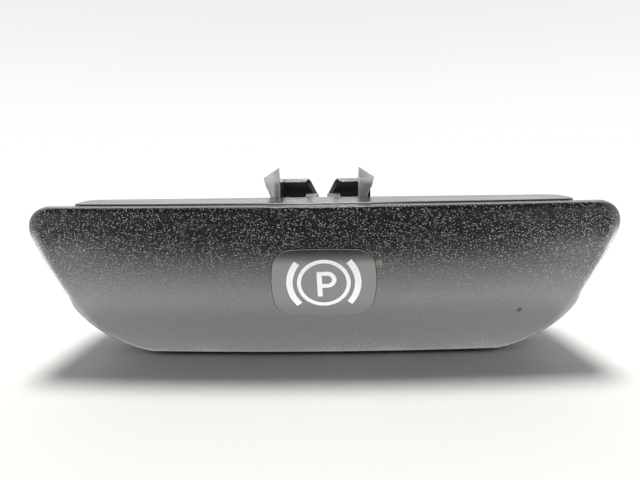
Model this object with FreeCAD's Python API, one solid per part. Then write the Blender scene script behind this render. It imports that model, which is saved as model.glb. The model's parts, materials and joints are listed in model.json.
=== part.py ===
import FreeCAD, Part
import math
import os

# Pull handle that releases a parking brake. X is the width, +Y points away from the driver,
# +Z is up. The handle stands on the flat land of its keel at Z = 0. All lengths are millimetres.

# Grip outline, seen from the front
grip_width = 120.0
rim_height = 35.5
side_lean_deg = 16.8
belly_radius = 20.0
rim_corner_radius = 4.6

# Grip outline, seen from the side
grip_depth = 30.0
face_radius = 60.0
keel_radius = 3.5
heel_radius = 4.0

# Grip outline, seen from above
bow_radius = 700.0
side_edge_radius = 4.0
side_taper_deg = 5.0
rear_corner_radius = 1.0

# Mouldings
wall = 2.4
fit_gap = 0.2
loft_stations = 16
cut_margin = 4.0
rim_edge_round = 0.8

# Plate that closes the front of the deck
plate_half_width = 51.6
plate_front_gap = 0.4
rim_thickness = 3.5
plate_depth = 11.2
plate_rise = 0.25
plate_bow_radius = 600.0
plate_corner_radius = 3.0
plate_edge_round = 0.4

# Deck behind the plate, and rear panel
deck_drop = 2.8
deck_thickness = 2.2
panel_thickness = 2.2
lip_height = 3.4

# Finger scoop in the rear panel: a barrel, largest at its middle
scoop_half_width = 46.0
scoop_radius = 12.0
scoop_end_radius = 9.6
scoop_end_round = 5.0
scoop_axis_inset = 1.0
scoop_axis_height = 18.0
scoop_wall = 2.2
scoop_mouth_flare = 0.7
scoop_mouth_shift = 3.0

# Stiffening ribs between deck and scoop
rib_thickness = 1.6
rib_offsets = (17.0, 31.0, 44.0)
rib_front_inset = 1.2

# Symbol insert and its window in the front face
insert_width = 21.1
insert_height = 15.8
insert_side_bulge = 1.1
insert_top_bulge = 0.35
insert_corner_radius = 4.0
insert_centre_height = 19.4
insert_gap = 0.12
insert_proud = 0.12
insert_cap_depth = 1.4
insert_seat_gap = 0.05
insert_ledge = 1.6
leg_offset = 3.6
leg_width = 3.0
leg_thickness = 1.2
leg_length = 4.6
leg_barb = 0.5
leg_gap = 0.15
barb_gap = 0.45

# Cable box on the deck: two side walls and a notched rear wall
box_half_width = 9.3
box_wall = 1.6
box_rise = 6.0
box_rear_wall = 2.2
notch_top_width = 5.9
notch_bottom_width = 2.0
notch_depth = 4.45
notch_bevel = 0.6
box_edge_bevel = 0.7
gusset_width = 1.9
gusset_rise = 3.3
gusset_depth = 1.6
ledge_width = 3.2
ledge_rise = 2.4
ledge_depth = 1.2

# Retaining clip with two snap hooks
hook_inner_half = 8.9
hook_tip_half = 12.2
hook_land_half = 11.7
hook_step_half = 11.4
hook_root_half = 10.7
hook_rise = 9.35
hook_tip_drop = 2.1
hook_land_drop = 4.3
hook_step_drop = 4.6
hook_waist_drop = 6.5
hook_depth = 3.6
hook_lead_in = 1.1
clip_front_gap = 1.0
clip_base_thickness = 1.4
clip_side_shift = -0.85
clip_side_play = 0.95
clip_slot_gap = 0.15
clip_foot_depth = 1.2
clip_foot_reach = 0.8
clip_foot_gap = 0.15

# Arms under the plate, with tongues that snap into pockets in the grip shell
arm_offsets = (24.0, 38.0)
arm_width = 6.0
arm_thickness = 1.5
tongue_reach = 0.8
tongue_height = 2.4
tongue_gap = 0.15
tongue_level = 26.0

# Values worked out from the sizes above
face_front_y = -grip_depth / 2
face_rear_y = face_front_y + grip_depth
deck_height = rim_height - deck_drop
riser_top = rim_height + plate_rise
plate_front_y = face_front_y + rim_thickness
plate_rear_y = plate_front_y + plate_depth
clip_front_y = plate_rear_y + clip_front_gap
lean = math.radians(side_lean_deg)
taper = math.radians(side_taper_deg)
hook_rear_y = clip_front_y + hook_depth


def point(x, y, z):
    return FreeCAD.Vector(x, y, z)


def block(x_low, x_high, y_low, y_high, z_low, z_high):
    corner = point(x_low, y_low, z_low)
    return Part.makeBox(x_high - x_low, y_high - y_low, z_high - z_low, corner)


def prism(points, travel):
    closed = Part.makePolygon(points + [points[0]])
    return Part.Face(closed).extrude(travel)


def mirrored(shape):
    return shape.mirror(point(0, 0, 0), point(1, 0, 0))


def both_sides(shape):
    return shape.fuse(mirrored(shape))


# Front elevation: a crowned corner at the rim, a leaning side and a round belly
def half_width(height, inset):
    corner_x = grip_width / 2 - rim_corner_radius
    corner_z = rim_height - rim_corner_radius
    corner_r = rim_corner_radius - inset
    line_x = corner_x + corner_r * math.cos(lean)
    line_z = corner_z - corner_r * math.sin(lean)
    belly_r = belly_radius - inset
    belly_top = belly_radius - belly_r * math.sin(lean)
    belly_x = line_x - (line_z - belly_top) * math.tan(lean) - belly_r * math.cos(lean)
    if height >= line_z:
        rise = min(abs(height - corner_z), corner_r) if height > corner_z else corner_z - height
        return corner_x + math.sqrt(corner_r ** 2 - rise ** 2)
    if height >= belly_top:
        return line_x - (line_z - height) * math.tan(lean)
    drop = min(belly_radius - height, belly_r)
    return belly_x + math.sqrt(belly_r ** 2 - drop ** 2)


# Side elevation of the face: one long arc, upright at the rim, that runs into the round keel
def face_y(height, inset):
    centre_y = face_front_y + face_radius
    reach = face_radius - keel_radius
    keel_drop = rim_height - keel_radius
    keel_y = centre_y - math.sqrt(reach ** 2 - keel_drop ** 2)
    tangent_height = rim_height - (face_radius - inset) * keel_drop / reach
    if height >= tangent_height:
        over = min(max(height - rim_height + rim_edge_round, 0), rim_edge_round)
        setback = rim_edge_round - math.sqrt(rim_edge_round ** 2 - over ** 2)
        return centre_y - math.sqrt((face_radius - inset) ** 2 - (rim_height - height) ** 2) + setback
    keel_r = keel_radius - inset
    drop = min(keel_radius - height, keel_r)
    return keel_y - math.sqrt(keel_r ** 2 - drop ** 2)


# Side elevation of the rear: upright, with a round heel at the floor
def rear_y(height, inset):
    heel_r = heel_radius - inset
    if height >= heel_radius:
        return face_rear_y - inset
    drop = min(heel_radius - height, heel_r)
    return face_rear_y - heel_radius + math.sqrt(heel_r ** 2 - drop ** 2)


def arc_edge(centre, radius, start, end, height):
    middle = (start + end) / 2
    spots = []
    for angle in (start, middle, end):
        x = centre[0] + radius * math.cos(angle)
        y = centre[1] + radius * math.sin(angle)
        spots.append(point(x, y, height))
    return Part.Arc(*spots).toShape()


# Plan section at one height: bowed front, round side edges, sides that close in to the rear
def plan_section(height, inset, rear):
    width = half_width(height, inset)
    edge_r = side_edge_radius - inset
    bow_r = bow_radius - inset
    bow_y = face_y(height, inset) + bow_r
    edge_x = width - edge_r
    edge_y = bow_y - math.sqrt((bow_r - edge_r) ** 2 - edge_x ** 2)
    bow_end = math.atan2(edge_y - bow_y, edge_x)
    tail_r = rear_corner_radius
    step = edge_r - tail_r
    run = (rear - tail_r - edge_y - step * math.sin(taper)) / math.cos(taper)
    tail_x = edge_x + step * math.cos(taper) - run * math.sin(taper)
    tail_y = rear - tail_r
    quarter = math.pi / 2
    right_edge = arc_edge((edge_x, edge_y), edge_r, bow_end, taper, height)
    right_tail = arc_edge((tail_x, tail_y), tail_r, taper, quarter, height)
    left_tail = arc_edge((-tail_x, tail_y), tail_r, quarter, 2 * quarter - taper, height)
    left_edge = arc_edge((-edge_x, edge_y), edge_r, 2 * quarter - taper, 2 * quarter - bow_end, height)
    front = arc_edge((0, bow_y), bow_r, -2 * quarter - bow_end, bow_end, height)
    right_side = Part.makeLine(right_edge.Vertexes[-1].Point, right_tail.Vertexes[0].Point)
    rear_side = Part.makeLine(right_tail.Vertexes[-1].Point, left_tail.Vertexes[0].Point)
    left_side = Part.makeLine(left_tail.Vertexes[-1].Point, left_edge.Vertexes[0].Point)
    loop = [front, right_edge, right_side, right_tail, rear_side, left_tail, left_side, left_edge]
    return Part.Wire(loop)


# Boat-shaped hull lofted through plan sections, which crowd together at the belly and the rim.
# inset moves every wall inwards, and open_rear carries the sides on past the rear.
def hull(inset, open_rear=False):
    low = inset
    high = rim_height - inset
    sections = []
    for index in range(loft_stations + 1):
        share = (1 - math.cos(math.pi * index / loft_stations)) / 2
        height = low + (high - low) * share
        rear = face_rear_y + cut_margin if open_rear else rear_y(height, inset)
        sections.append(plan_section(height, inset, rear))
    return Part.makeLoft(sections, True, False, False, 5)


# Outline of the deck plate, seen from above, shrunk by a margin on every side. Its front bows more
# than the rim, so that the gap between them widens to the ends.
def plate_prism(margin, low, high):
    half = plate_half_width - margin
    front = plate_front_y + plate_front_gap + margin
    rear = plate_rear_y - margin
    sag = plate_bow_radius - math.sqrt(plate_bow_radius ** 2 - half ** 2)
    right = point(half, front + sag, low)
    left = point(-half, front + sag, low)
    middle = point(0, front, low)
    edges = [
        Part.Arc(left, middle, right).toShape(),
        Part.makeLine(right, point(half, rear, low)),
        Part.makeLine(point(half, rear, low), point(-half, rear, low)),
        Part.makeLine(point(-half, rear, low), left),
    ]
    solid = Part.Face(Part.Wire(edges)).extrude(point(0, 0, high - low))
    corners = [e for e in solid.Edges if abs(e.tangentAt(e.FirstParameter).z) > 0.99]
    return solid.makeFillet(plate_corner_radius - margin, corners)


# Everything above the deck and behind the rim's lip
def behind_rim():
    far = grip_width
    sag = bow_radius - math.sqrt(bow_radius ** 2 - far ** 2)
    right = point(far, plate_front_y + sag, deck_height)
    left = point(-far, plate_front_y + sag, deck_height)
    edges = [
        Part.Arc(left, point(0, plate_front_y, deck_height), right).toShape(),
        Part.makeLine(right, point(far, far, deck_height)),
        Part.makeLine(point(far, far, deck_height), point(-far, far, deck_height)),
        Part.makeLine(point(-far, far, deck_height), left),
    ]
    return Part.Face(Part.Wire(edges)).extrude(point(0, 0, far))


# Outline of the symbol insert, standing on the face's own normal at the insert's centre
def insert_prism(grow):
    half_x = insert_width / 2 + grow
    half_z = insert_height / 2 + grow
    corner_x = half_x - insert_side_bulge
    corner_z = half_z - insert_top_bulge
    reach = wall + cut_margin
    top_left = point(-corner_x, -reach, corner_z)
    top_right = point(corner_x, -reach, corner_z)
    low_right = point(corner_x, -reach, -corner_z)
    low_left = point(-corner_x, -reach, -corner_z)
    edges = [
        Part.Arc(top_left, point(0, -reach, half_z), top_right).toShape(),
        Part.Arc(top_right, point(half_x, -reach, 0), low_right).toShape(),
        Part.Arc(low_right, point(0, -reach, -half_z), low_left).toShape(),
        Part.Arc(low_left, point(-half_x, -reach, 0), top_left).toShape(),
    ]
    solid = Part.Face(Part.Wire(edges)).extrude(point(0, 2 * reach, 0))
    corners = [e for e in solid.Edges if abs(e.tangentAt(e.FirstParameter).y) > 0.99]
    solid = solid.makeFillet(insert_corner_radius + grow, corners)
    return place_on_face(solid)


def place_on_face(shape):
    slope = math.degrees(math.asin((rim_height - insert_centre_height) / face_radius))
    placed = shape.copy()
    placed.rotate(point(0, 0, 0), point(1, 0, 0), slope)
    placed.translate(point(0, face_y(insert_centre_height, 0), insert_centre_height))
    return placed


# Barrel of the finger scoop, grown by a wall for its outer skin
def scoop_barrel(grow):
    axis_y = face_rear_y - scoop_axis_inset
    half = scoop_half_width + grow
    middle_r = scoop_radius + grow
    end_r = scoop_end_radius + grow
    round_r = scoop_end_round + grow
    shoulder = half - round_r
    cap_r = end_r - round_r
    diagonal = round_r * math.sqrt(0.5)
    top = Part.Arc(
        point(-shoulder, axis_y, end_r), point(0, axis_y, middle_r), point(shoulder, axis_y, end_r)
    ).toShape()
    right_round = Part.Arc(
        point(shoulder, axis_y, end_r),
        point(shoulder + diagonal, axis_y, cap_r + diagonal),
        point(half, axis_y, cap_r),
    ).toShape()
    left_round = Part.Arc(
        point(-half, axis_y, cap_r),
        point(-shoulder - diagonal, axis_y, cap_r + diagonal),
        point(-shoulder, axis_y, end_r),
    ).toShape()
    right_cap = Part.makeLine(point(half, axis_y, cap_r), point(half, axis_y, 0))
    axis_line = Part.makeLine(point(half, axis_y, 0), point(-half, axis_y, 0))
    left_cap = Part.makeLine(point(-half, axis_y, 0), point(-half, axis_y, cap_r))
    profile = Part.Face(Part.Wire([top, right_round, right_cap, axis_line, left_cap, left_round]))
    barrel = profile.revolve(point(0, axis_y, 0), point(1, 0, 0), 360)
    barrel.translate(point(0, 0, scoop_axis_height))
    return barrel


# Wedge-shaped tongues along the shell's front wall, or their pockets when they are grown by a gap
def tongue_row(gap):
    half = arm_width / 2 + gap
    reach = tongue_reach - fit_gap + gap
    tall = tongue_height / 2 + gap
    row = []
    for offset in arm_offsets:
        root_y = arm_front_y(offset)
        outline = [
            point(offset - half, root_y + arm_thickness / 2, tongue_level - tall - reach),
            point(offset - half, root_y, tongue_level - tall),
            point(offset - half, root_y - fit_gap - reach, tongue_level + tall),
            point(offset - half, root_y + arm_thickness / 2, tongue_level + tall),
        ]
        row.append(both_sides(prism(outline, point(2 * half, 0, 0))))
    return Part.makeCompound(row)


# Front of a snap arm, a gap behind the bowed inner face of the shell's front wall
def arm_front_y(offset):
    sag = bow_radius - math.sqrt(bow_radius ** 2 - offset ** 2)
    return face_y(tongue_level, wall) + sag + fit_gap


def snap_arms():
    arms = []
    for offset in arm_offsets:
        front = arm_front_y(offset)
        low = tongue_level - tongue_height / 2
        top = deck_height - deck_thickness / 2
        arm = block(offset - arm_width / 2, offset + arm_width / 2, front, front + arm_thickness, low, top)
        arms.append(both_sides(arm))
    return arms


# Outer moulding: face, sides and keel, open at the top and the rear
def grip_shell():
    body = hull(0)
    lip = block(-grip_width, grip_width, face_rear_y - wall, grip_width, 0, lip_height)
    cavity = hull(wall, True).cut(lip)
    body = body.cut(cavity)
    body = body.cut(behind_rim())
    seat = insert_prism(insert_gap).cut(hull(insert_cap_depth))
    body = body.cut(seat)
    body = body.cut(insert_prism(-insert_ledge))
    body = body.cut(tongue_row(tongue_gap))
    return body


# Smooth cap that fills the window, with two snap legs behind it
def symbol_insert():
    skin = hull(-insert_proud).cut(hull(insert_cap_depth - insert_seat_gap))
    cap = insert_prism(0).common(skin)
    leg_half = leg_width / 2
    leg_top = insert_height / 2 - insert_ledge - leg_gap
    leg_low = leg_top - leg_thickness
    start = insert_cap_depth / 2
    tip = insert_cap_depth + leg_length
    barb_start = wall + barb_gap
    outline = [
        point(leg_offset - leg_half, start, leg_low),
        point(leg_offset - leg_half, start, leg_top),
        point(leg_offset - leg_half, barb_start, leg_top),
        point(leg_offset - leg_half, barb_start, leg_top + leg_barb),
        point(leg_offset - leg_half, tip, leg_top - leg_barb),
        point(leg_offset - leg_half, tip, leg_low),
    ]
    leg = prism(outline, point(leg_width, 0, 0))
    legs = both_sides(leg)
    legs = legs.fuse(legs.mirror(point(0, 0, 0), point(0, 0, 1)))
    return cap.fuse(place_on_face(legs)).removeSplitter()


# Outline of the V notch and of the wall's top edge, grown by a bevel, in a plane across the handle
def notch_outline(depth, grow):
    top = deck_height + box_rise - grow
    half_top = notch_top_width / 2 + grow
    half_low = notch_bottom_width / 2 + grow
    mouth = half_top + notch_bevel
    far = box_half_width + box_wall + cut_margin
    high = deck_height + box_rise + cut_margin
    right = [
        point(half_low, depth, deck_height),
        point(half_low, depth, deck_height + box_rise - notch_depth),
        point(half_top, depth, top - notch_bevel),
        point(mouth, depth, top),
        point(far, depth, top),
        point(far, depth, high),
    ]
    left = [point(-p.x, depth, p.z) for p in reversed(right)]
    return Part.makePolygon(right + left + [right[0]])


# Cutter for the notch: straight through, or a bevel that closes in over its depth
def notch_cutter(wall_front, grow, bevel):
    if bevel:
        outlines = [notch_outline(wall_front, grow), notch_outline(wall_front + bevel, 0)]
        return Part.makeLoft(outlines, True, True)
    return Part.Face(notch_outline(wall_front - cut_margin, 0)).extrude(point(0, box_rear_wall + 2 * cut_margin, 0))


# Box that takes the cable's end: side walls, notched rear wall, corner gussets and ledges
def cable_box():
    top = deck_height + box_rise
    base = deck_height - deck_thickness / 2
    outer = box_half_width + box_wall
    wall_front = face_rear_y - box_rear_wall
    side = block(box_half_width, outer, hook_rear_y + clip_slot_gap, face_rear_y, base, top)
    rear = block(-outer, outer, wall_front, face_rear_y, base, top)
    rear = rear.cut(notch_cutter(wall_front, 0, 0))
    rear = rear.cut(notch_cutter(wall_front, box_edge_bevel, box_edge_bevel))
    gusset_outline = [
        point(box_half_width, wall_front - gusset_depth, base),
        point(box_half_width, wall_front - gusset_depth, deck_height + gusset_rise),
        point(box_half_width - gusset_width, wall_front - gusset_depth, base),
    ]
    gusset = prism(gusset_outline, point(0, gusset_depth, 0))
    ledge_start = notch_bottom_width / 2
    ledge_outline = [
        point(ledge_start, wall_front - ledge_depth, base),
        point(ledge_start, wall_front - ledge_depth, deck_height + ledge_rise / 2),
        point(ledge_start, wall_front, deck_height + ledge_rise),
        point(ledge_start, wall_front, base),
    ]
    ledge = prism(ledge_outline, point(ledge_width, 0, 0))
    return rear.fuse([both_sides(side), both_sides(gusset), both_sides(ledge)])


# Slots in the deck for the clip's arms, wide enough for the clip to centre itself
def clip_slots():
    low = deck_height - deck_thickness * 2
    inner = hook_inner_half - clip_side_play
    outer = hook_root_half + clip_side_play
    front = clip_front_y - clip_slot_gap
    return both_sides(block(inner, outer, front, hook_rear_y + clip_slot_gap, low, deck_height + cut_margin))


# Ribs that brace the scoop against the deck, cut to the plug that fits inside the shell
def stiffening_ribs(plug):
    front = face_front_y + wall + rib_front_inset
    back = rear_y(heel_radius, wall) - fit_gap
    ribs = []
    for offset in rib_offsets:
        low = offset - rib_thickness / 2
        high = offset + rib_thickness / 2
        ribs.append(both_sides(plug.common(block(low, high, front, back, 0, deck_height))))
    return ribs


# Inner moulding: deck, plate, rear panel and scoop in one piece, stiffened by ribs
def grip_carrier():
    far = grip_width
    plug = hull(wall + fit_gap, True)
    above_lip = lip_height + fit_gap
    deck_low = deck_height - deck_thickness
    deck = plug.common(block(-far, far, -far, face_rear_y, deck_low, deck_height))
    deck = deck.cut(plate_prism(deck_thickness, deck_low - cut_margin, deck_height))
    panel_front = face_rear_y - panel_thickness
    panel = plug.common(block(-far, far, panel_front, face_rear_y, above_lip, deck_height))
    skin = scoop_barrel(scoop_wall).common(block(-far, far, -far, face_rear_y, above_lip, deck_height))
    plate = plate_prism(0, deck_height, riser_top)
    rims = [e for e in plate.Edges if min(v.Z for v in e.Vertexes) > riser_top - 0.01]
    plate = plate.makeFillet(plate_edge_round, rims)
    body = deck.fuse([panel, plug.common(skin), plate, cable_box()])
    body = body.fuse(stiffening_ribs(plug))
    body = body.fuse(snap_arms())
    body = body.fuse(tongue_row(0).Solids)
    body = body.cut(scoop_barrel(0))
    mouth = scoop_barrel(scoop_mouth_flare)
    mouth.translate(point(0, scoop_mouth_shift, 0))
    body = body.cut(mouth)
    body = body.cut(clip_slots())
    return body.removeSplitter()


# Light clip: a strap on the deck, two hooks above it and two feet that catch under the deck
def retaining_clip():
    top = deck_height + hook_rise
    foot_top = deck_height - deck_thickness - clip_foot_gap
    foot_low = foot_top - clip_foot_depth
    outline = [
        point(hook_inner_half, clip_front_y, foot_low),
        point(hook_inner_half, clip_front_y, top),
        point(hook_tip_half, clip_front_y, top - hook_tip_drop),
        point(hook_land_half, clip_front_y, top - hook_land_drop),
        point(hook_step_half, clip_front_y, top - hook_step_drop),
        point(hook_root_half, clip_front_y, top - hook_waist_drop),
        point(hook_root_half, clip_front_y, foot_top),
        point(hook_root_half + clip_side_play + clip_foot_reach, clip_front_y, foot_top),
        point(hook_root_half, clip_front_y, foot_low),
    ]
    arm = prism(outline, point(0, hook_depth, 0))
    lead = [
        point(0, clip_front_y, top - hook_tip_drop),
        point(0, clip_front_y, top + cut_margin),
        point(0, clip_front_y + hook_lead_in * (1 + cut_margin / hook_tip_drop), top + cut_margin),
    ]
    front_wedge = prism(lead, point(grip_width, 0, 0))
    middle_y = clip_front_y + hook_depth / 2
    rear_wedge = front_wedge.mirror(point(0, middle_y, 0), point(0, 1, 0))
    arm = arm.cut(front_wedge)
    arm = arm.cut(rear_wedge)
    strap = block(
        -hook_inner_half, hook_inner_half, clip_front_y, hook_rear_y,
        deck_height, deck_height + clip_base_thickness
    )
    clip = strap.fuse(both_sides(arm)).removeSplitter()
    clip.translate(point(clip_side_shift, 0, 0))
    return clip


def write_step(name, shape):
    solids = shape.Solids
    body = solids[0] if len(solids) == 1 else Part.makeCompound(solids)
    body.exportStep(os.path.join("parts", name + ".step"))
    print(name, len(solids), "solid(s), valid", body.isValid(), "volume", round(body.Volume, 1))


os.makedirs("parts", exist_ok=True)
write_step("grip_shell", grip_shell())
write_step("grip_carrier", grip_carrier())
write_step("symbol_insert", symbol_insert())
write_step("retaining_clip", retaining_clip())
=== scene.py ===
"""Visual model of a parking brake release handle, with the studio that it is shown in."""

import json
import logging
import math
from dataclasses import dataclass, field
from enum import Enum
from typing import Callable, Iterable, Sequence

import bmesh
import bpy
from mathutils import Matrix, Vector
from mathutils.bvhtree import BVHTree

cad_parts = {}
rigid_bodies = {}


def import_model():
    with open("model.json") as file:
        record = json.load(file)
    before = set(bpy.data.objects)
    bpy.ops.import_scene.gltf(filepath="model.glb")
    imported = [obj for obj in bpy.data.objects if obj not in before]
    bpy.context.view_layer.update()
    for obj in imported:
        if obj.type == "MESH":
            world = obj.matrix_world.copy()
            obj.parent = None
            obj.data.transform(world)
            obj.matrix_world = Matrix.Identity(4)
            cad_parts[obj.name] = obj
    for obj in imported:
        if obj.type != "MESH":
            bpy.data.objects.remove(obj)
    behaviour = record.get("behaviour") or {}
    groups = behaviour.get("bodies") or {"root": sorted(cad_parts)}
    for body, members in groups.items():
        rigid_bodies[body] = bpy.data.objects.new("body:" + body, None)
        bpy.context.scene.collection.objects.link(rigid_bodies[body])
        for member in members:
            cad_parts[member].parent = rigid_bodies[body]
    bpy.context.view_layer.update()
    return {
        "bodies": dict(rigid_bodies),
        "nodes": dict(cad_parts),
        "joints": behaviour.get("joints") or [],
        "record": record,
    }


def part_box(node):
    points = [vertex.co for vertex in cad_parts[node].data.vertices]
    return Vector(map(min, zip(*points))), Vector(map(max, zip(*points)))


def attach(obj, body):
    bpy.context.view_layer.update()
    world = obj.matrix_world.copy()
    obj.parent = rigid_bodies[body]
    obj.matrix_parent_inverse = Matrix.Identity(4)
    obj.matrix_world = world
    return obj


LOG = logging.getLogger("handle")
MM = 0.001
VECTOR = "NodeSocketVector"
VALUE = "NodeSocketFloat"
NEUTRAL_SHINE = 0.5
BEVEL_SAMPLES = 6

Colour = tuple[float, float, float]
Point = tuple[float, float, float]
Pair = tuple[float, float]
Socket = bpy.types.NodeSocket


class Slot(Enum):
    """Material slots of the record."""

    GRAINED = "grained_plastic"
    CARRIER = "carrier_plastic"
    INSERT = "insert_plastic"
    CLIP = "clip_plastic"


class Node(Enum):
    """CAD nodes of the frame."""

    SHELL = "grip_shell"
    CARRIER = "grip_carrier"
    INSERT = "symbol_insert"
    CLIP = "retaining_clip"


class Effect(Enum):
    """Effects that the materials share, each by the name of its node group."""

    GRAIN = "moulded_grain"
    TONE = "uneven_tone"
    BAND = "wear_and_light_band"
    MARK = "lone_mark"


class Graph:
    """Writes nodes and links into one shader tree."""

    def __init__(self, tree: bpy.types.NodeTree) -> None:
        """Keeps the tree that the nodes go into."""
        self.tree = tree

    @classmethod
    def emptied(cls, owner: bpy.types.Material | bpy.types.World) -> "Graph":
        """Switches the owner's nodes on and clears them.

        Args:
            owner: Material or world.

        Returns:
            The graph of its empty tree.
        """
        owner.use_nodes = True
        owner.node_tree.nodes.clear()
        return cls(owner.node_tree)

    def add(self, kind: str, **settings: object) -> bpy.types.Node:
        """Adds one node.

        Args:
            kind: Blender's identifier of the node type.
            **settings: Attributes to set on the node.

        Returns:
            The new node.
        """
        node = self.tree.nodes.new(kind)
        for key, value in settings.items():
            setattr(node, key, value)
        return node

    def feed(self, node: bpy.types.Node, name: str | int, value: object) -> None:
        """Links a socket to an input, or sets the input's own value.

        Args:
            node: Node that owns the input.
            name: The input's name or index.
            value: A socket, number, colour or vector.
        """
        target = node.inputs[name]
        if isinstance(value, bpy.types.NodeSocket):
            self.tree.links.new(value, target)
        elif isinstance(value, tuple) and len(value) == 3 and target.type == "RGBA":
            target.default_value = (*value, 1.0)
        else:
            target.default_value = value

    def math(self, operation: str, *values: Socket | float, clamp: bool = False) -> Socket:
        """Adds a math node.

        Args:
            operation: Blender's name of the operation.
            *values: Inputs in order.
            clamp: Whether the result stays between 0 and 1.

        Returns:
            The result's socket.
        """
        node = self.add("ShaderNodeMath", operation=operation, use_clamp=clamp)
        for index, value in enumerate(values):
            self.feed(node, index, value)
        return node.outputs[0]

    def scaled(self, vector: Socket, factors: Sequence[float]) -> Socket:
        """Multiplies a vector by three factors.

        Args:
            vector: Vector to scale.
            factors: Factor for each axis.

        Returns:
            The scaled vector's socket.
        """
        node = self.add("ShaderNodeVectorMath", operation="MULTIPLY")
        self.feed(node, 0, vector)
        self.feed(node, 1, tuple(factors))
        return node.outputs[0]

    def place(self) -> Socket:
        """Place on the object, in millimetres."""
        return self.scaled(self.add("ShaderNodeTexCoord").outputs["Object"], (1 / MM,) * 3)

    def axis(self, vector: Socket, name: str) -> Socket:
        """Takes one coordinate out of a vector.

        Args:
            vector: Vector to take apart.
            name: X, Y or Z.

        Returns:
            The coordinate's socket.
        """
        node = self.add("ShaderNodeSeparateXYZ")
        self.feed(node, 0, vector)
        return node.outputs[name]

    def noise(self, vector: Socket, scale: Socket | float, detail: float, roughness: float) -> Socket:
        """Adds a noise texture.

        Args:
            vector: Place to look up.
            scale: Waves per unit of the vector.
            detail: Octaves.
            roughness: Share that each octave passes on.

        Returns:
            The noise value's socket.
        """
        node = self.add("ShaderNodeTexNoise")
        self.feed(node, "Vector", vector)
        self.feed(node, "Scale", scale)
        self.feed(node, "Detail", detail)
        self.feed(node, "Roughness", roughness)
        return node.outputs[0]

    def spread(self, value: Socket, low: Socket | float, high: Socket | float,
               start: float = 0.0, end: float = 1.0) -> Socket:
        """Maps low..high onto start..end with soft ends.

        Args:
            value: Value to map.
            low: Value that gives start.
            high: Value that gives end.
            start: Result at low.
            end: Result at high.

        Returns:
            The mapped value's socket.
        """
        node = self.add("ShaderNodeMapRange", interpolation_type="SMOOTHSTEP")
        for name, entry in zip(("Value", "From Min", "From Max", "To Min", "To Max"),
                               (value, low, high, start, end)):
            self.feed(node, name, entry)
        return node.outputs[0]

    def blend(self, share: Socket | float, first: Socket | Colour, second: Socket | Colour) -> Socket:
        """Mixes two colours.

        Args:
            share: 0 for the first colour, 1 for the second.
            first: Colour at 0.
            second: Colour at 1.

        Returns:
            The mixed colour's socket.
        """
        node = self.add("ShaderNodeMix", data_type="RGBA")
        self.feed(node, 0, share)
        self.feed(node, 6, first)
        self.feed(node, 7, second)
        return node.outputs[2]

    def surface(self, inputs: dict[str, object]) -> None:
        """Ends the tree with the surface's shader.

        Args:
            inputs: Value or socket for each input that isn't left as it is.
        """
        shader = self.add("ShaderNodeBsdfPrincipled")
        for name, value in inputs.items():
            self.feed(shader, name, value)
        self.feed(self.add("ShaderNodeOutputMaterial"), "Surface", shader.outputs[0])


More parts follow.
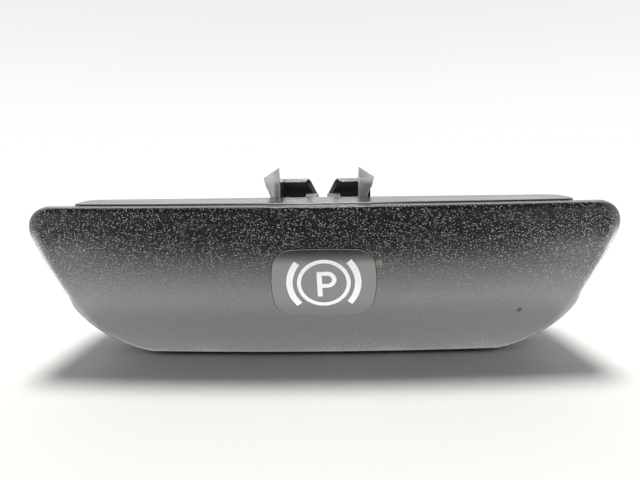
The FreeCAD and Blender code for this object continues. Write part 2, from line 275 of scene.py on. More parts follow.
class GroupLibrary:
    """Shared material effects, each made once as a node group."""

    def __init__(self) -> None:
        """Starts with no group made."""
        self.made: dict[Effect, bpy.types.NodeTree] = {}

    def use(self, graph: Graph, effect: Effect, **inputs: object) -> bpy.types.Node:
        """Puts a group into a tree, and makes it first where it is new.

        Args:
            graph: Tree that gets the group.
            effect: The effect.
            **inputs: Values for the group's inputs.

        Returns:
            The group's node.
        """
        if effect not in self.made:
            builders: dict[Effect, Callable[[], bpy.types.NodeTree]] = {
                Effect.GRAIN: self._moulded_grain,
                Effect.TONE: self._uneven_tone,
                Effect.BAND: self._wear_and_light_band,
                Effect.MARK: self._lone_mark,
            }
            self.made[effect] = builders[effect]()
        node = graph.add("ShaderNodeGroup", node_tree=self.made[effect])
        for key, value in inputs.items():
            graph.feed(node, key, value)
        return node

    @staticmethod
    def _open(effect: Effect, inputs: dict[str, str],
              outputs: dict[str, str]) -> tuple[Graph, dict[str, Socket], bpy.types.Node]:
        """Makes an empty group with its sockets.

        Args:
            effect: Effect that the group is for.
            inputs: Socket type of each input.
            outputs: Socket type of each output.

        Returns:
            The graph, the input sockets by name, and the group's output node.
        """
        tree = bpy.data.node_groups.new(effect.value, "ShaderNodeTree")
        for label, kind in inputs.items():
            tree.interface.new_socket(label, in_out="INPUT", socket_type=kind)
        for label, kind in outputs.items():
            tree.interface.new_socket(label, in_out="OUTPUT", socket_type=kind)
        graph = Graph(tree)
        source = graph.add("NodeGroupInput")
        return graph, {label: source.outputs[label] for label in inputs}, graph.add("NodeGroupOutput")

    def _moulded_grain(self) -> bpy.types.NodeTree:
        """Etched grain of a moulding: domes of uneven height, with a fine haze on top.

        Returns:
            Group with inputs Place, Size and Depth, all in mm, and outputs Normal and Height.
        """
        graph, given, result = self._open(
            Effect.GRAIN,
            {"Place": VECTOR, "Size": VALUE, "Depth": VALUE},
            {"Normal": VECTOR, "Height": VALUE},
        )
        lowest_dome, highest_dome = 0.1, 1.0
        haze_density, haze_share = 2.6, 0.07
        density = graph.math("DIVIDE", 1.0, given["Size"])
        cells = graph.add("ShaderNodeTexVoronoi", feature="F1")
        graph.feed(cells, "Vector", given["Place"])
        graph.feed(cells, "Scale", density)
        dome = graph.spread(cells.outputs["Distance"], low=0.55, high=0.05)
        lot = graph.add("ShaderNodeSeparateColor")
        graph.feed(lot, 0, cells.outputs["Color"])
        share = graph.spread(lot.outputs[0], low=0.2, high=0.8, start=lowest_dome, end=highest_dome)
        haze_scale = graph.math("MULTIPLY", density, haze_density)
        haze = graph.noise(given["Place"], haze_scale, detail=2.0, roughness=0.5)
        height = graph.math("MULTIPLY_ADD", haze, haze_share, graph.math("MULTIPLY", dome, share))
        bump = graph.add("ShaderNodeBump")
        graph.feed(bump, "Strength", 1.0)
        graph.feed(bump, "Distance", graph.math("MULTIPLY", given["Depth"], MM))
        graph.feed(bump, "Height", height)
        graph.feed(result, "Normal", bump.outputs[0])
        graph.feed(result, "Height", height)
        return graph.tree

    def _uneven_tone(self) -> bpy.types.NodeTree:
        """Slow change of tone over a moulding, as handling and flow marks leave it.

        Returns:
            Group with input Place in mm and outputs Tone and Polish, each from 0 to 1.
        """
        graph, given, result = self._open(Effect.TONE, {"Place": VECTOR}, {"Tone": VALUE, "Polish": VALUE})
        streak_stretch = (0.25, 1.0, 1.3)
        streak_share = 0.35
        broad = graph.noise(given["Place"], scale=0.045, detail=3.0, roughness=0.55)
        along = graph.scaled(given["Place"], streak_stretch)
        streak = graph.noise(along, scale=0.2, detail=2.0, roughness=0.5)
        rest = graph.math("MULTIPLY", broad, 1 - streak_share)
        graph.feed(result, "Tone", graph.math("MULTIPLY_ADD", streak, streak_share, rest))
        graph.feed(result, "Polish", graph.spread(streak, low=0.35, high=0.7))
        return graph.tree

    def _wear_and_light_band(self) -> bpy.types.NodeTree:
        """Light specks below a height, thinning out upwards: worn plastic, and painted light on the lower
        edge.

        Returns:
            Group with inputs Place in mm, Top in mm and Amount, and output Mask.
        """
        graph, given, result = self._open(
            Effect.BAND, {"Place": VECTOR, "Top": VALUE, "Amount": VALUE}, {"Mask": VALUE}
        )
        patch_share, speck_share = 0.5, 0.7
        share = graph.math("DIVIDE", graph.axis(given["Place"], "Z"), given["Top"])
        nearness = graph.math("SUBTRACT", 1.0, share, clamp=True)
        specks = graph.noise(given["Place"], scale=1.7, detail=2.0, roughness=0.6)
        patches = graph.noise(given["Place"], scale=0.09, detail=2.0, roughness=0.5)
        level = graph.math("MULTIPLY_ADD", patches, patch_share, graph.math("MULTIPLY", specks, speck_share))
        level = graph.math("MULTIPLY_ADD", nearness, given["Amount"], level)
        worn = graph.spread(level, low=0.86, high=0.96)
        fading = graph.spread(nearness, low=0.0, high=0.1)
        graph.feed(result, "Mask", graph.math("MULTIPLY", worn, fading))
        return graph.tree

    def _lone_mark(self) -> bpy.types.NodeTree:
        """One small mark with a ragged outline.

        Returns:
            Group with inputs Place in mm, Centre in mm and Radius in mm, and output Mask.
        """
        graph, given, result = self._open(
            Effect.MARK, {"Place": VECTOR, "Centre": VECTOR, "Radius": VALUE}, {"Mask": VALUE}
        )
        least_reach, ragged_reach, solid_share = 0.3, 1.4, 0.6
        away = graph.add("ShaderNodeVectorMath", operation="DISTANCE")
        graph.feed(away, 0, given["Place"])
        graph.feed(away, 1, given["Centre"])
        ragged = graph.noise(given["Place"], scale=2.3, detail=2.0, roughness=0.6)
        share = graph.math("MULTIPLY_ADD", ragged, ragged_reach, least_reach)
        reach = graph.math("MULTIPLY", given["Radius"], share)
        inner = graph.math("MULTIPLY", reach, solid_share)
        beyond = graph.spread(away.outputs["Value"], inner, reach)
        graph.feed(result, "Mask", graph.math("SUBTRACT", 1.0, beyond))
        return graph.tree


@dataclass(frozen=True)
class Mark:
    """One worn or dirty spot on a piece.

    Attributes:
        centre: Middle of the spot, in millimetres.
        radius: Size of the spot, in millimetres.
        colour: Colour of the spot.
        strength: How much of the plastic's own colour it hides.
        dull: How much of the plastic's shine it takes.
    """

    centre: Point
    radius: float
    colour: Colour
    strength: float = 1.0
    dull: float = 0.0


@dataclass(frozen=True)
class WearAndLightBand:
    """Light specks along the lower edge of a piece: wear, and painted light on that edge.

    Attributes:
        top: Height up to which they reach, in millimetres.
        amount: How much of the edge the specks cover.
        colour: Colour of the specks.
    """

    top: float
    amount: float
    colour: Colour


@dataclass(frozen=True)
class GrainFadeAndPaintedLight:
    """Grain with painted highlights on its tips and painted shade in its pits, which fades towards the bottom
    of a piece.

    Attributes:
        glint_colour: Colour of the painted highlight on the grain's tips.
        painted_pit_shade: How much of the shine the pits lose, as painted shade.
        low: Height below which the grain has faded, in millimetres.
        high: Height above which the grain is full, in millimetres.
        left: Share of the grain that is left at the bottom.
    """

    glint_colour: Colour
    painted_pit_shade: float
    low: float
    high: float
    left: float


@dataclass(frozen=True)
class PlasticFinish:
    """Moulded plastic with grain, uneven tone, polish and wear, and with painted highlights and shade.

    Attributes:
        name: Material name.
        colour: Base colour.
        roughness: Roughness of the plain surface.
        ior: Refractive index, which sets how much it reflects.
        grain_size: Size of the grain, in millimetres.
        grain_depth: Depth of the grain, in millimetres.
        tone_sway: How far the tone wanders from the base colour.
        rough_sway: How far the roughness wanders from the plain surface's.
        crest_polish: How much smoother the grain's crests are.
        grain_fade_and_light: Fading of the grain towards the bottom, with painted highlights on its tips and
            painted shade in its pits, or None where it is even.
        band: Light specks of wear and painted light along the lower edge, or None.
        marks: Single spots.
        edge_highlight: How strong the painted highlight on the edges that face up is.
        edge_highlight_colour: Colour of that painted highlight.
        edge_radius: Rounding that those edges seem to have, in millimetres.
        see_through: Share of light that is scattered inside the plastic.
        scatter_reach: How far the scattered light gets, in millimetres.
        scatter_tint: How far each colour gets as a share of that.
        clear: Share of light that passes through the plastic.
    """

    name: str
    colour: Colour
    roughness: float
    ior: float
    grain_size: float
    grain_depth: float
    tone_sway: float = 0.25
    rough_sway: float = 0.1
    crest_polish: float = 0.05
    grain_fade_and_light: GrainFadeAndPaintedLight | None = None
    band: WearAndLightBand | None = None
    marks: tuple[Mark, ...] = ()
    edge_highlight: float = 0.0
    edge_highlight_colour: Colour = (0.5, 0.5, 0.49)
    edge_radius: float = 0.3
    see_through: float = 0.0
    scatter_reach: float = 2.5
    scatter_tint: Colour = (1.0, 1.0, 0.95)
    clear: float = 0.0

    def material(self, library: GroupLibrary) -> bpy.types.Material:
        """Builds the material.

        Args:
            library: Shared effects.

        Returns:
            The new material.
        """
        material = bpy.data.materials.new(self.name)
        graph = Graph.emptied(material)
        place = graph.place()
        full = self._fullness(graph, place)
        depth = graph.math("MULTIPLY", full, self.grain_depth)
        grain = library.use(graph, Effect.GRAIN, Place=place, Size=self.grain_size, Depth=depth)
        tone = library.use(graph, Effect.TONE, Place=place)
        crest = graph.spread(grain.outputs["Height"], low=0.5, high=0.8)
        colour = self._toned(graph, tone.outputs["Tone"])
        # The grain's lighter tips are painted highlights, weaker towards the bottom.
        glint_colour = self.grain_fade_and_light.glint_colour if self.grain_fade_and_light else self.colour
        colour = graph.blend(graph.math("MULTIPLY", crest, full), colour, glint_colour)
        # Painted highlight on the edges that face up.
        if self.edge_highlight:
            colour = graph.blend(self._edge_highlights(graph), colour, self.edge_highlight_colour)
        spots = [library.use(graph, Effect.MARK, Place=place, Centre=mark.centre, Radius=mark.radius)
                 for mark in self.marks]
        for mark, spot in zip(self.marks, spots):
            share = graph.math("MULTIPLY", spot.outputs["Mask"], mark.strength)
            colour = graph.blend(share, colour, mark.colour)
        # Light specks along the lower edge: wear, and painted light there.
        if self.band:
            specks = library.use(graph, Effect.BAND, Place=place, Top=self.band.top, Amount=self.band.amount)
            colour = graph.blend(specks.outputs["Mask"], colour, self.band.colour)
        roughest, smoothest = (self.roughness * (1 + sway) for sway in (self.rough_sway, -self.rough_sway))
        rough = graph.spread(tone.outputs["Polish"], low=0.0, high=1.0, start=roughest, end=smoothest)
        inputs: dict[str, object] = {
            "Base Color": colour,
            "Roughness": graph.math("MULTIPLY_ADD", crest, -self.crest_polish, rough),
            "IOR": self.ior,
            "Normal": grain.outputs["Normal"],
            "Transmission Weight": self.clear,
        }
        # Less shine in the grain's pits: painted shade.
        if self.grain_fade_and_light:
            inputs["Specular IOR Level"] = self._shine(graph, grain.outputs["Height"], full, spots)
        if self.see_through:
            inputs["Subsurface Weight"] = self.see_through
            inputs["Subsurface Radius"] = self.scatter_tint
            inputs["Subsurface Scale"] = self.scatter_reach * MM
        graph.surface(inputs)
        return material

    def _fullness(self, graph: Graph, place: Socket) -> Socket | float:
        """Share of the grain, and of its painted highlights and shade, that is there at each height.

        Args:
            graph: The material's tree.
            place: Place on the piece, in millimetres.

        Returns:
            The share's socket, or 1 where the grain is even.
        """
        if self.grain_fade_and_light is None:
            return 1.0
        height = graph.axis(place, "Z")
        return graph.spread(height, self.grain_fade_and_light.low, self.grain_fade_and_light.high, start=self.grain_fade_and_light.left, end=1.0)

    def _toned(self, graph: Graph, tone: Socket) -> Socket:
        """Base colour that wanders between a darker and a lighter one.

        Args:
            graph: The material's tree.
            tone: Where it stands between them.

        Returns:
            The colour's socket.
        """
        dark = tuple(channel * (1 - self.tone_sway) for channel in self.colour)
        light = tuple(channel * (1 + self.tone_sway) for channel in self.colour)
        return graph.blend(graph.spread(tone, low=0.3, high=0.7), dark, light)

    def _shine(self, graph: Graph, height: Socket, full: Socket, spots: Sequence[bpy.types.Node]) -> Socket:
        """Shine, with painted shade in the grain's pits and less where the marks dull it.

        Args:
            graph: The material's tree.
            height: Height of the grain.
            full: Share of the grain that is there.
            spots: Group node of each mark.

        Returns:
            The shine's socket.
        """
        # Painted shade: the pits lose shine.
        pit_shade_mask = graph.math("SUBTRACT", 1.0, graph.spread(height, low=0.0, high=0.4))
        shine = graph.math("MULTIPLY_ADD", graph.math("MULTIPLY", pit_shade_mask, full), -self.grain_fade_and_light.painted_pit_shade, 1.0)
        for mark, spot in zip(self.marks, spots):
            left = graph.math("MULTIPLY_ADD", spot.outputs["Mask"], -mark.dull, 1.0)
            shine = graph.math("MULTIPLY", shine, left)
        return graph.math("MULTIPLY", shine, NEUTRAL_SHINE)

    def _edge_highlights(self, graph: Graph) -> Socket:
        """Finds the edges that face up, where the plastic's rounding catches the light.

        Args:
            graph: The material's tree.

        Returns:
            The mask's socket.
        """
        bevel = graph.add("ShaderNodeBevel", samples=BEVEL_SAMPLES)
        graph.feed(bevel, "Radius", self.edge_radius * MM)
        likeness = graph.add("ShaderNodeVectorMath", operation="DOT_PRODUCT")
        graph.feed(likeness, 0, bevel.outputs[0])
        graph.feed(likeness, 1, graph.add("ShaderNodeNewGeometry").outputs["True Normal"])
        bent = graph.spread(graph.math("SUBTRACT", 1.0, likeness.outputs["Value"]), low=0.01, high=0.1)
        upward = graph.spread(graph.axis(bevel.outputs[0], "Z"), low=0.1, high=0.4, end=self.edge_highlight)
        return graph.math("MULTIPLY", bent, upward)


@dataclass
class MouldedPart:
    """A piece whose shape is the CAD node's own.

    Attributes:
        node: CAD node.
        slot: The record's material slot.
        finish: Its plastic.
    """

    frame: dict
    node: Node
    slot: Slot
    finish: PlasticFinish

    def build(self, library: GroupLibrary) -> bpy.types.Object:
        """Gives the CAD node its material.

        Args:
            library: Shared effects.

        Returns:
            The node's object.
        """
        piece = self.frame["nodes"][self.node.value]
        piece.data.materials.clear()
        piece.data.materials.append(self.finish.material(library))
        return piece


@dataclass
class GripShell(MouldedPart):
    """Black grained outer moulding."""

    node: Node = Node.SHELL
    slot: Slot = Slot.GRAINED
    finish: PlasticFinish = PlasticFinish(
        name="grained_black", colour=(0.011, 0.0115, 0.012), roughness=0.25, ior=2.0,
        grain_size=0.29, grain_depth=0.09,
        # Light tips: painted highlights. Lost shine in the pits: painted shade.
        grain_fade_and_light=GrainFadeAndPaintedLight(glint_colour=(0.36, 0.37, 0.37), painted_pit_shade=0.62, low=13.0, high=27.0, left=0.15),
        # Lower-edge specks: wear, and painted light on the lower edge.
        band=WearAndLightBand(top=7.0, amount=0.33, colour=(0.065, 0.063, 0.055)),
        marks=(
            Mark((41.2, -9.1, 12.4), 0.7, (0.003, 0.003, 0.003), dull=0.6),
            Mark((10.9, -13.8, 24.0), 0.9, (0.16, 0.15, 0.09), strength=0.7),
        ),
    )


@dataclass
class GripCarrier(MouldedPart):
    """Smooth dark inner moulding."""

    node: Node = Node.CARRIER
    slot: Slot = Slot.CARRIER
    finish: PlasticFinish = PlasticFinish(
        name="smooth_black", colour=(0.024, 0.026, 0.027), roughness=0.22, ior=1.65,
        # The edges that face up get a painted highlight.
        grain_size=0.9, grain_depth=0.006, edge_highlight=0.8,
    )


@dataclass
class SymbolInsert(MouldedPart):
    """Smooth cap that carries the symbol."""

    node: Node = Node.INSERT
    slot: Slot = Slot.INSERT
    finish: PlasticFinish = PlasticFinish(
        name="insert_black", colour=(0.016, 0.017, 0.017), roughness=0.13, ior=2.0,
        # The edges that face up get a painted highlight.
        grain_size=0.35, grain_depth=0.005, edge_highlight=1.0,
    )


@dataclass
class RetainingClip(MouldedPart):
    """Light clip with two snap hooks."""

    node: Node = Node.CLIP
    slot: Slot = Slot.CLIP
    finish: PlasticFinish = PlasticFinish(
        name="natural_acetal", colour=(0.90, 0.92, 0.90), roughness=0.42, ior=1.48,
        grain_size=0.6, grain_depth=0.01, tone_sway=0.04, see_through=1.0, clear=0.6,
    )


@dataclass(frozen=True)
class PrintFinish:
    """White pad-printed ink.

    Attributes:
        colour: Ink colour.
        thin: Colour where the ink is thin and the plastic shows through.
        thin_share: How thin the ink gets there.
        roughness: Roughness of the ink.
        grain_size: Size of the ink's grain, in millimetres.
        grain_depth: Depth of that grain, in millimetres.
    """

    colour: Colour = (0.76, 0.77, 0.76)
    thin: Colour = (0.42, 0.43, 0.43)
    thin_share: float = 0.5
    roughness: float = 0.5
    grain_size: float = 0.3
    grain_depth: float = 0.006

    def material(self, library: GroupLibrary) -> bpy.types.Material:
        """Builds the ink's material.

        Args:
            library: Shared effects.

        Returns:
            The new material.
        """
        material = bpy.data.materials.new("white_print")
        graph = Graph.emptied(material)
        place = graph.place()
        grain = library.use(graph, Effect.GRAIN, Place=place, Size=self.grain_size, Depth=self.grain_depth)
        worn = graph.spread(graph.noise(place, scale=1.9, detail=3.0, roughness=0.65), low=0.6, high=0.78)
        graph.surface({
            "Base Color": graph.blend(graph.math("MULTIPLY", worn, self.thin_share), self.colour, self.thin),
            "Roughness": self.roughness,
            "Normal": grain.outputs["Normal"],
        })
        return material


@dataclass
class Stroke:
    """Band between two edges that run side by side.

    Attributes:
        left: Points of one edge, in millimetres on the print.
        right: Points of the other edge, as many as on the first.
        closed: Whether the band joins up with its own start.
    """

    left: list[Pair]
    right: list[Pair]
    closed: bool = False


def evenly(start: float, end: float, steps: int) -> list[float]:
    """Values from start to end in even steps, both ends among them."""
    return [start + (end - start) * step / steps for step in range(steps + 1)]


def arc(centre: Pair, radius: float, angles: Iterable[float]) -> list[Pair]:
    """Points of an arc, one for each angle from the right, in radians."""
    return [(centre[0] + radius * math.cos(angle), centre[1] + radius * math.sin(angle)) for angle in angles]


def add_object(name: str, data: bpy.types.ID) -> bpy.types.Object:
    """Adds an object to the scene.

    Args:
        name: Name of the object.
        data: Its mesh, camera or lamp.

    Returns:
        The new object.
    """
    piece = bpy.data.objects.new(name, data)
    bpy.context.scene.collection.objects.link(piece)
    return piece


def add_mesh(name: str, mesh: bmesh.types.BMesh, material: bpy.types.Material) -> bpy.types.Object:
    """Adds a mesh to the scene, and frees what it was built in.

    Args:
        name: Name of the object and of its mesh.
        mesh: The mesh.
        material: Its material.

    Returns:
        The new object.
    """
    data = bpy.data.meshes.new(name)
    mesh.to_mesh(data)
    mesh.free()
    data.materials.append(material)
    return add_object(name, data)


@dataclass
class ParkingSymbol:
    """Printed parking brake symbol: a letter P in a ring, between two arcs.

    Attributes:
        insert: CAD node that it is printed on.
        ring_outer: Outer radius of the ring, in millimetres.
        ring_inner: Inner radius of the ring, in millimetres.
        ring_steps: Steps round the ring.
        arc_outer: Outer radius of the side arcs, in millimetres.
        arc_inner: Inner radius of the side arcs, in millimetres.
        arc_shift: How far the arcs' centres lie across the middle, in millimetres.
        arc_spread: Half of each arc's angle, in degrees.
        arc_steps: Steps along each arc.
        stem_left: Left edge of the letter's stem, in millimetres from the middle.
        stem_right: Right edge of the stem.
        stem_steps: Steps up the stem.
        bowl_right: Right edge of the letter's bowl.
        bowl_low: Lower edge of the bowl.
        bowl_width: Width of the bowl's band, in millimetres.
        bowl_steps: Steps round the bowl.
        letter_top: Upper edge of the letter.
        letter_foot: Lower edge of the letter.
        turn: How far the whole print is turned, in degrees.
        thickness: Thickness of the ink, in millimetres.
        raised: How far the ink's middle stands off the face, as a share of half the thickness.
        probe_y: Place in front of the face from which it is looked for, in millimetres.
        probe_across: Distance from the middle at which the face's slope is taken, in millimetres.
        ink: Its finish.
        centre: Middle of the insert, in metres.
        target: The insert's surface, to look for the face.
        tilt: Angle between the face and the vertical, in radians.
    """

    insert: bpy.types.Object
    ring_outer: float = 5.4
    ring_inner: float = 4.6
    ring_steps: int = 96
    arc_outer: float = 8.15
    arc_inner: float = 6.85
    arc_shift: float = 0.6
    arc_spread: float = 40.0
    arc_steps: int = 28
    stem_left: float = -1.35
    stem_right: float = -0.35
    stem_steps: int = 10
    bowl_right: float = 2.55
    bowl_low: float = -1.0
    bowl_width: float = 0.88
    bowl_steps: int = 24
    letter_top: float = 2.7
    letter_foot: float = -3.05
    turn: float = 2.0
    thickness: float = 0.05
    raised: float = 0.6
    probe_y: float = -50.0
    probe_across: float = 7.0
    ink: PrintFinish = PrintFinish()
    centre: Vector = field(init=False)
    target: BVHTree = field(init=False)
    tilt: float = field(init=False)

    def build(self, library: GroupLibrary) -> bpy.types.Object:
        """Makes the print as thin raised bands on the insert's face.

        Args:
            library: Shared effects.

        Returns:
            The print's object.
        """
        low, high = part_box(self.insert.name)
        self.centre = (Vector(low) + Vector(high)) / 2
        self.target = BVHTree.FromObject(self.insert, bpy.context.evaluated_depsgraph_get())
        _, normal = self._probe(self.probe_across * MM, 0.0)
        self.tilt = math.asin(min(1.0, abs(normal.z)))
        mesh = bmesh.new()
        for stroke in (*self._rings(), *self._letter()):
            self._add_band(mesh, stroke)
        bmesh.ops.recalc_face_normals(mesh, faces=mesh.faces)
        piece = add_mesh("symbol_print", mesh, self.ink.material(library))
        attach(piece, "root")
        return piece

    def _rings(self) -> list[Stroke]:
        """Works out the ring and the two arcs beside it.

        Returns:
            The three bands.
        """
        around = evenly(0.0, math.tau, self.ring_steps)[:-1]
        ring = Stroke(arc((0, 0), self.ring_outer, around), arc((0, 0), self.ring_inner, around), closed=True)
        reach = math.radians(self.arc_spread)
        sweep = evenly(-reach, reach, self.arc_steps)
        middle = (-self.arc_shift, 0)
        right = Stroke(arc(middle, self.arc_outer, sweep), arc(middle, self.arc_inner, sweep))
        left = Stroke([(-x, v) for x, v in right.left], [(-x, v) for x, v in right.right])
        return [ring, right, left]

    def _letter(self) -> list[Stroke]:
        """Works out the letter P: a stem, and a bowl that starts and ends at the stem.

        Returns:
            The two bands.
        """
        levels = evenly(self.letter_foot, self.letter_top, self.stem_steps)
        stem = Stroke([(self.stem_left, v) for v in levels], [(self.stem_right, v) for v in levels])
        radius = (self.letter_top - self.bowl_low) / 2
        middle = (self.bowl_right - radius, (self.letter_top + self.bowl_low) / 2)
        half_turn = evenly(math.pi / 2, -math.pi / 2, self.bowl_steps)
        edges = [
            [
                (self.stem_right, self.letter_top - inwards),
                *arc(middle, radius - inwards, half_turn),
                (self.stem_right, self.bowl_low + inwards),
            ]
            for inwards in (0.0, self.bowl_width)
        ]
        return [stem, Stroke(*edges)]

    def _probe(self, across: float, up: float) -> tuple[Vector, Vector]:
        """Looks for the insert's face from in front.

        Args:
            across: Distance from the insert's middle to the right, in metres.
            up: Distance from the insert's middle upwards, in metres.

        Returns:
            The place on the face and its normal.
        """
        start = Vector((self.centre.x + across, self.probe_y * MM, self.centre.z + up))
        hit, normal, _, _ = self.target.ray_cast(start, Vector((0, 1, 0)))
        return hit, normal

    def _on_face(self, spot: Pair, lift: float) -> Vector:
        """Puts a point of the print onto the insert's face.

        Args:
            spot: Place on the print, in millimetres.
            lift: Distance off the face, in millimetres.

        Returns:
            The place in metres.
        """
        across, up = Matrix.Rotation(math.radians(self.turn), 2) @ Vector(spot)
        hit, normal = self._probe(across * MM, up * MM * math.cos(self.tilt))
        return hit + normal * lift * MM

    def _add_band(self, mesh: bmesh.types.BMesh, stroke: Stroke) -> None:
        """Adds a band as a closed thin solid.

        Args:
            mesh: Mesh that gets it.
            stroke: The band.
        """
        half = self.thickness / 2
        middle = half * self.raised
        rows = []
        for first, second in zip(stroke.left, stroke.right):
            corners = [(first, half), (second, half), (second, -half), (first, -half)]
            rows.append([mesh.verts.new(self._on_face(spot, lift + middle)) for spot, lift in corners])
        count = len(rows)
        for index in range(count if stroke.closed else count - 1):
            here, there = rows[index], rows[(index + 1) % count]
            for side in range(4):
                after = (side + 1) % 4
                mesh.faces.new((here[side], here[after], there[after], there[side]))
        if not stroke.closed:
            mesh.faces.new(rows[0])
            mesh.faces.new(rows[-1])


@dataclass(frozen=True)
class PhotoCamera:
    """Camera of the photo, held close in front and a little above the rim.

    Attributes:
        place: Position, in millimetres.
        pitch: Downward tilt, in degrees.
        yaw: Turn to the right, in degrees.
        roll: Roll, in degrees.
        lens: Focal length, in millimetres.
        sensor: Width of the sensor, in millimetres.
        sight: Nearest and farthest distance that it sees, in metres.
    """

    place: Point = (0.1, -105.75, 47.5)
    pitch: float = 11.5
    yaw: float = -0.47
    roll: float = -0.75
    lens: float = 27.0
    sensor: float = 36.0
    sight: Pair = (0.005, 20.0)

    def build(self) -> bpy.types.Object:
        """Makes the camera and sets it as the scene's own.

        Returns:
            The camera's object.
        """
        data = bpy.data.cameras.new("photo_camera")
        data.lens = self.lens
        data.sensor_width = self.sensor
        data.sensor_fit = "HORIZONTAL"
        data.clip_start, data.clip_end = self.sight
        camera = add_object("photo_camera", data)
        pitch, yaw, roll = (math.radians(angle) for angle in (self.pitch, self.yaw, self.roll))
        ahead = Vector((math.sin(yaw) * math.cos(pitch), math.cos(yaw) * math.cos(pitch), -math.sin(pitch)))
        level = Vector((math.cos(yaw), -math.sin(yaw), 0))
        upright = level.cross(ahead)
        right = level * math.cos(roll) + upright * math.sin(roll)
        above = upright * math.cos(roll) - level * math.sin(roll)
        turn = Matrix((right, above, -ahead)).transposed().to_4x4()
        camera.matrix_world = Matrix.Translation(Vector(self.place) * MM) @ turn
        bpy.context.scene.camera = camera
        return camera


@dataclass(frozen=True)
class Sheet:
    """Level rectangular sheet of the studio.

    Attributes:
        name: Name of the object.
        across: Its two ends in x, in metres.
        along: Its two ends in y, in metres.
        height: Its height, in metres.
    """

    name: str
    across: Pair
    along: Pair
    height: float

    def build(self, material: bpy.types.Material) -> bpy.types.Object:
        """Makes the sheet.

        Args:
            material: Its material.

        Returns:
            The new object.
        """
        mesh = bmesh.new()
        corners = [(self.across[i], self.along[j], self.height) for i, j in ((0, 0), (1, 0), (1, 1), (0, 1))]
        mesh.faces.new([mesh.verts.new(corner) for corner in corners])
        return add_mesh(self.name, mesh, material)


@dataclass(frozen=True)
class TableLamp:
    """Flat lamp that stands for a bright patch of the table and shines up.

    Attributes:
        middle: Its middle in x and y, in metres.
        size: Its width and depth, in metres.
        level: Its brightness.
        height: Its height, in metres.
    """

    middle: Pair
    size: Pair
    level: float
    height: float = 0.001

    def build(self, name: str) -> None:
        """Makes the lamp, which the camera doesn't see.

        Args:
            name: Name of the lamp.
        """
        width, depth = self.size
        data = bpy.data.lights.new(name, "AREA")
        data.shape = "RECTANGLE"
        data.size = width
        data.size_y = depth
        data.energy = self.level * math.pi * width * depth
        lamp = add_object(name, data)
        lamp.location = (*self.middle, self.height)
        lamp.rotation_euler = (math.pi, 0.0, 0.0)
        lamp.visible_camera = False


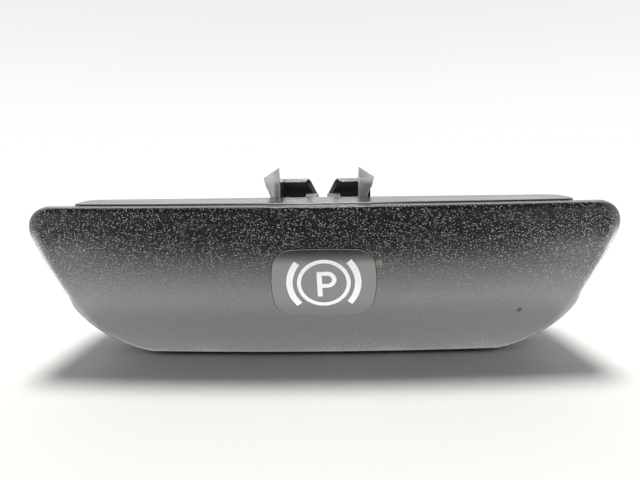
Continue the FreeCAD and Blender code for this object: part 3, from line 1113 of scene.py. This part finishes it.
@dataclass
class Studio:
    """White table under an overhead lamp, with the phone that took the photo as a dark reflection.

    Attributes:
        floor: The table.
        floor_colour: Colour of the table.
        floor_shade: How much of its brightness the table keeps in its darker patches.
        phone: The phone's dark back.
        phone_colour: Colour of that back.
        shade: The part of the table that lies in the phone's shade.
        shade_colour: Colour of the table in the shade.
        lit_colour: Colour of the table where the shade ends.
        shade_end: Where the shade starts to end and where it has ended, in y and metres.
        backdrop: Level of the background seen by the camera.
        backdrop_colour: Colour of that background.
        rear_light: Level of the light from behind the handle.
        front_light: Level of the light from the camera's side.
        side_light: Level of the light from the left and the right.
        high_light: Level of the light from above.
        lamp_angle: Apparent width of the overhead lamp, in degrees.
        lamp_tilt: How far the overhead lamp stands behind the handle, in degrees.
        lamp_strength: Strength of the overhead lamp.
        lamp_colour: Colour of the overhead lamp.
        table_lamps: Lamps for the bright table round the handle.
    """

    floor: Sheet = Sheet("floor", (-2.5, 2.5), (-1.5, 6.0), 0.0)
    floor_colour: Colour = (0.90, 0.90, 0.89)
    floor_shade: float = 0.985
    phone: Sheet = Sheet("phone_card", (-0.16, 0.16), (-0.36, -0.048), 0.066)
    phone_colour: Colour = (0.012, 0.012, 0.013)
    shade: Sheet = Sheet("shaded_table", (-0.19, 0.19), (-0.36, -0.046), 0.0006)
    shade_colour: Colour = (0.06, 0.06, 0.062)
    lit_colour: Colour = (0.85, 0.85, 0.84)
    shade_end: Pair = (-0.062, -0.048)
    backdrop: float = 0.86
    backdrop_colour: Colour = (1.0, 1.0, 0.997)
    rear_light: float = 1.1
    front_light: float = 0.03
    side_light: float = 1.0
    high_light: float = 0.2
    lamp_angle: float = 16.0
    lamp_tilt: float = 7.0
    lamp_strength: float = 2.65
    lamp_colour: Colour = (1.0, 0.99, 0.97)
    table_lamps: tuple[TableLamp, ...] = (
        TableLamp((0.0, -0.029), (0.28, 0.038), 1.35),
        TableLamp((0.0, -0.006), (0.16, 0.008), 1.3),
        TableLamp((-0.120, -0.015), (0.09, 0.09), 3.5),
        TableLamp((0.120, -0.015), (0.09, 0.09), 4.5),
    )

    def build(self) -> list[bpy.types.Object]:
        """Makes the table, the dark sheets, the lamps and the world.

        Returns:
            The staged objects.
        """
        floor = self.floor.build(self._floor_material())
        dark_sheets = [self.phone.build(self._phone_material()), self.shade.build(self._shade_material())]
        for sheet in dark_sheets:
            sheet.visible_camera = False
            sheet.visible_diffuse = False
            sheet.visible_shadow = False
        staged = [floor, *dark_sheets]
        self._overhead_lamp()
        for index, lamp in enumerate(self.table_lamps):
            lamp.build(f"table_bounce_{index}")
        self._world()
        return staged

    def _floor_material(self) -> bpy.types.Material:
        """Matt white table with a faint unevenness.

        Returns:
            The new material.
        """
        material = bpy.data.materials.new("white_table")
        graph = Graph.emptied(material)
        place = graph.add("ShaderNodeTexCoord").outputs["Object"]
        tone = graph.noise(place, scale=9.0, detail=3.0, roughness=0.5)
        darker = tuple(channel * self.floor_shade for channel in self.floor_colour)
        graph.surface({
            "Base Color": graph.blend(tone, self.floor_colour, darker),
            "Roughness": 0.9,
            "Specular IOR Level": 0.1,
        })
        return material

    def _phone_material(self) -> bpy.types.Material:
        """Dark back of the phone.

        Returns:
            The new material.
        """
        material = bpy.data.materials.new("phone_back")
        Graph.emptied(material).surface({"Base Color": self.phone_colour, "Roughness": 0.6})
        return material

    def _shade_material(self) -> bpy.types.Material:
        """Table in the phone's shade, lighter towards the handle.

        Returns:
            The new material.
        """
        material = bpy.data.materials.new("shaded_table")
        graph = Graph.emptied(material)
        along = graph.axis(graph.add("ShaderNodeTexCoord").outputs["Object"], "Y")
        lit = graph.spread(along, *self.shade_end)
        graph.surface({"Base Color": graph.blend(lit, self.shade_colour, self.lit_colour), "Roughness": 0.9})
        return material

    def _overhead_lamp(self) -> None:
        """Wide overhead lamp, a little behind the handle."""
        data = bpy.data.lights.new("overhead_lamp", "SUN")
        data.energy = self.lamp_strength
        data.angle = math.radians(self.lamp_angle)
        data.color = self.lamp_colour
        lamp = add_object("overhead_lamp", data)
        lamp.location = (0.0, 0.0, 1.0)
        lamp.rotation_euler = (-math.radians(self.lamp_tilt), 0.0, 0.0)

    def _world(self) -> None:
        """Light from behind, from the sides and from above, and a near-white background for the camera."""
        world = bpy.data.worlds.new("studio")
        bpy.context.scene.world = world
        graph = Graph.emptied(world)
        way = graph.add("ShaderNodeTexCoord").outputs["Generated"]
        up = graph.axis(way, "Z")
        sideways = graph.math("ABSOLUTE", graph.axis(way, "X"))
        away = graph.axis(way, "Y")
        rear = graph.spread(away, low=0.0, high=0.97, start=self.front_light, end=self.rear_light)
        side = graph.spread(sideways, low=0.7, high=0.97, start=self.front_light, end=self.side_light)
        high = graph.spread(up, low=0.5, high=0.8, start=self.front_light, end=self.high_light)
        around = graph.add("ShaderNodeBackground")
        graph.feed(around, "Color", (1.0, 1.0, 1.0))
        graph.feed(around, "Strength", graph.math("MAXIMUM", high, graph.math("MAXIMUM", rear, side)))
        seen = graph.add("ShaderNodeBackground")
        graph.feed(seen, "Color", self.backdrop_colour)
        graph.feed(seen, "Strength", graph.spread(up, low=0.0, high=0.3, start=1.0, end=self.backdrop))
        choice = graph.add("ShaderNodeMixShader")
        graph.feed(choice, 0, graph.add("ShaderNodeLightPath").outputs["Is Camera Ray"])
        graph.feed(choice, 1, around.outputs[0])
        graph.feed(choice, 2, seen.outputs[0])
        graph.feed(graph.add("ShaderNodeOutputWorld"), "Surface", choice.outputs[0])


def main() -> None:
    """Loads the frame, finishes every piece and sets up the studio."""
    logging.basicConfig(level=logging.INFO, format="%(message)s")
    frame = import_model()
    library = GroupLibrary()
    for part in (GripShell(frame), GripCarrier(frame), SymbolInsert(frame), RetainingClip(frame)):
        piece = part.build(library)
        LOG.info("%s: %d faces, %s", piece.name, len(piece.data.polygons), part.slot.value)
    symbol = ParkingSymbol(frame["nodes"][Node.INSERT.value]).build(library)
    LOG.info("%s: %d faces", symbol.name, len(symbol.data.polygons))
    staged = Studio().build()
    LOG.info("staged: %s", ", ".join(piece.name for piece in staged))
    PhotoCamera().build()
    bpy.context.scene.view_settings.view_transform = "Standard"


if __name__ == "__main__":
    main()
